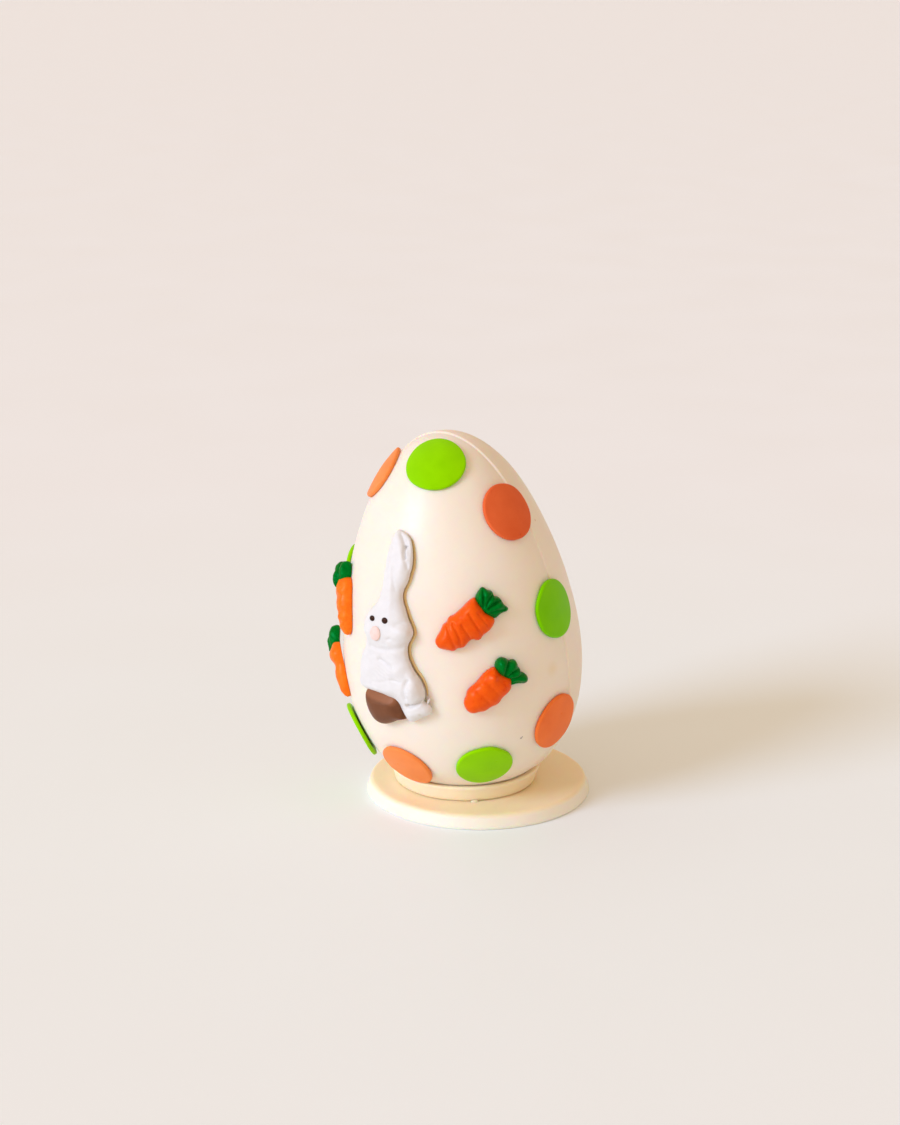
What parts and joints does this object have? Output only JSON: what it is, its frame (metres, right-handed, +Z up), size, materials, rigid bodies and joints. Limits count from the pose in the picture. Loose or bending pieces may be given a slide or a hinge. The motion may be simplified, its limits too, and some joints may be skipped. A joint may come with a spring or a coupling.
{
  "type": "chocolate easter egg",
  "caption": "Upright white chocolate easter egg on a round chocolate base, with flat icing discs, icing carrots and a sitting icing rabbit on its front.",
  "frame": {"origin": "centre of the round base's flat underside", "axes": "+Z up, -Y towards the front of the egg, where the rabbit is, +X to the rabbit's left"},
  "size_m": [0.1349, 0.1418, 0.2057],
  "materials": {
    "white_chocolate": "satin, smooth moulded chocolate",
    "green_icing": "satin sugar paste",
    "orange_icing": "satin sugar paste",
    "carrot_icing": "waxy, wrinkled",
    "leaf_icing": "waxy, ridged",
    "white_icing": "soft satin",
    "milk_chocolate": "satin",
    "pink_icing": "soft satin",
    "dark_icing": "glossy dots"
  },
  "bodies": {
    "root": {"egg": "white_chocolate", "base": "white_chocolate", "seat": "white_chocolate", "disc_green_top": "green_icing", "disc_green_right": "green_icing", "disc_green_low": "green_icing", "disc_green_left_low": "green_icing", "disc_green_left_high": "green_icing", "disc_orange_right_high": "orange_icing", "disc_orange_right_low": "orange_icing", "disc_orange_low": "orange_icing", "disc_orange_left": "orange_icing", "disc_orange_left_high": "orange_icing", "carrot_right_high_root": "carrot_icing", "carrot_right_low_root": "carrot_icing", "carrot_left_high_root": "carrot_icing", "carrot_left_low_root": "carrot_icing", "carrot_right_high_leaves": "leaf_icing", "carrot_right_low_leaves": "leaf_icing", "carrot_left_high_leaves": "leaf_icing", "carrot_left_low_leaves": "leaf_icing", "rabbit": "white_icing", "rabbit_lap_egg": "milk_chocolate", "rabbit_nose": "pink_icing", "rabbit_eye_left": "dark_icing", "rabbit_eye_right": "dark_icing"}
  },
  "joints": []
}
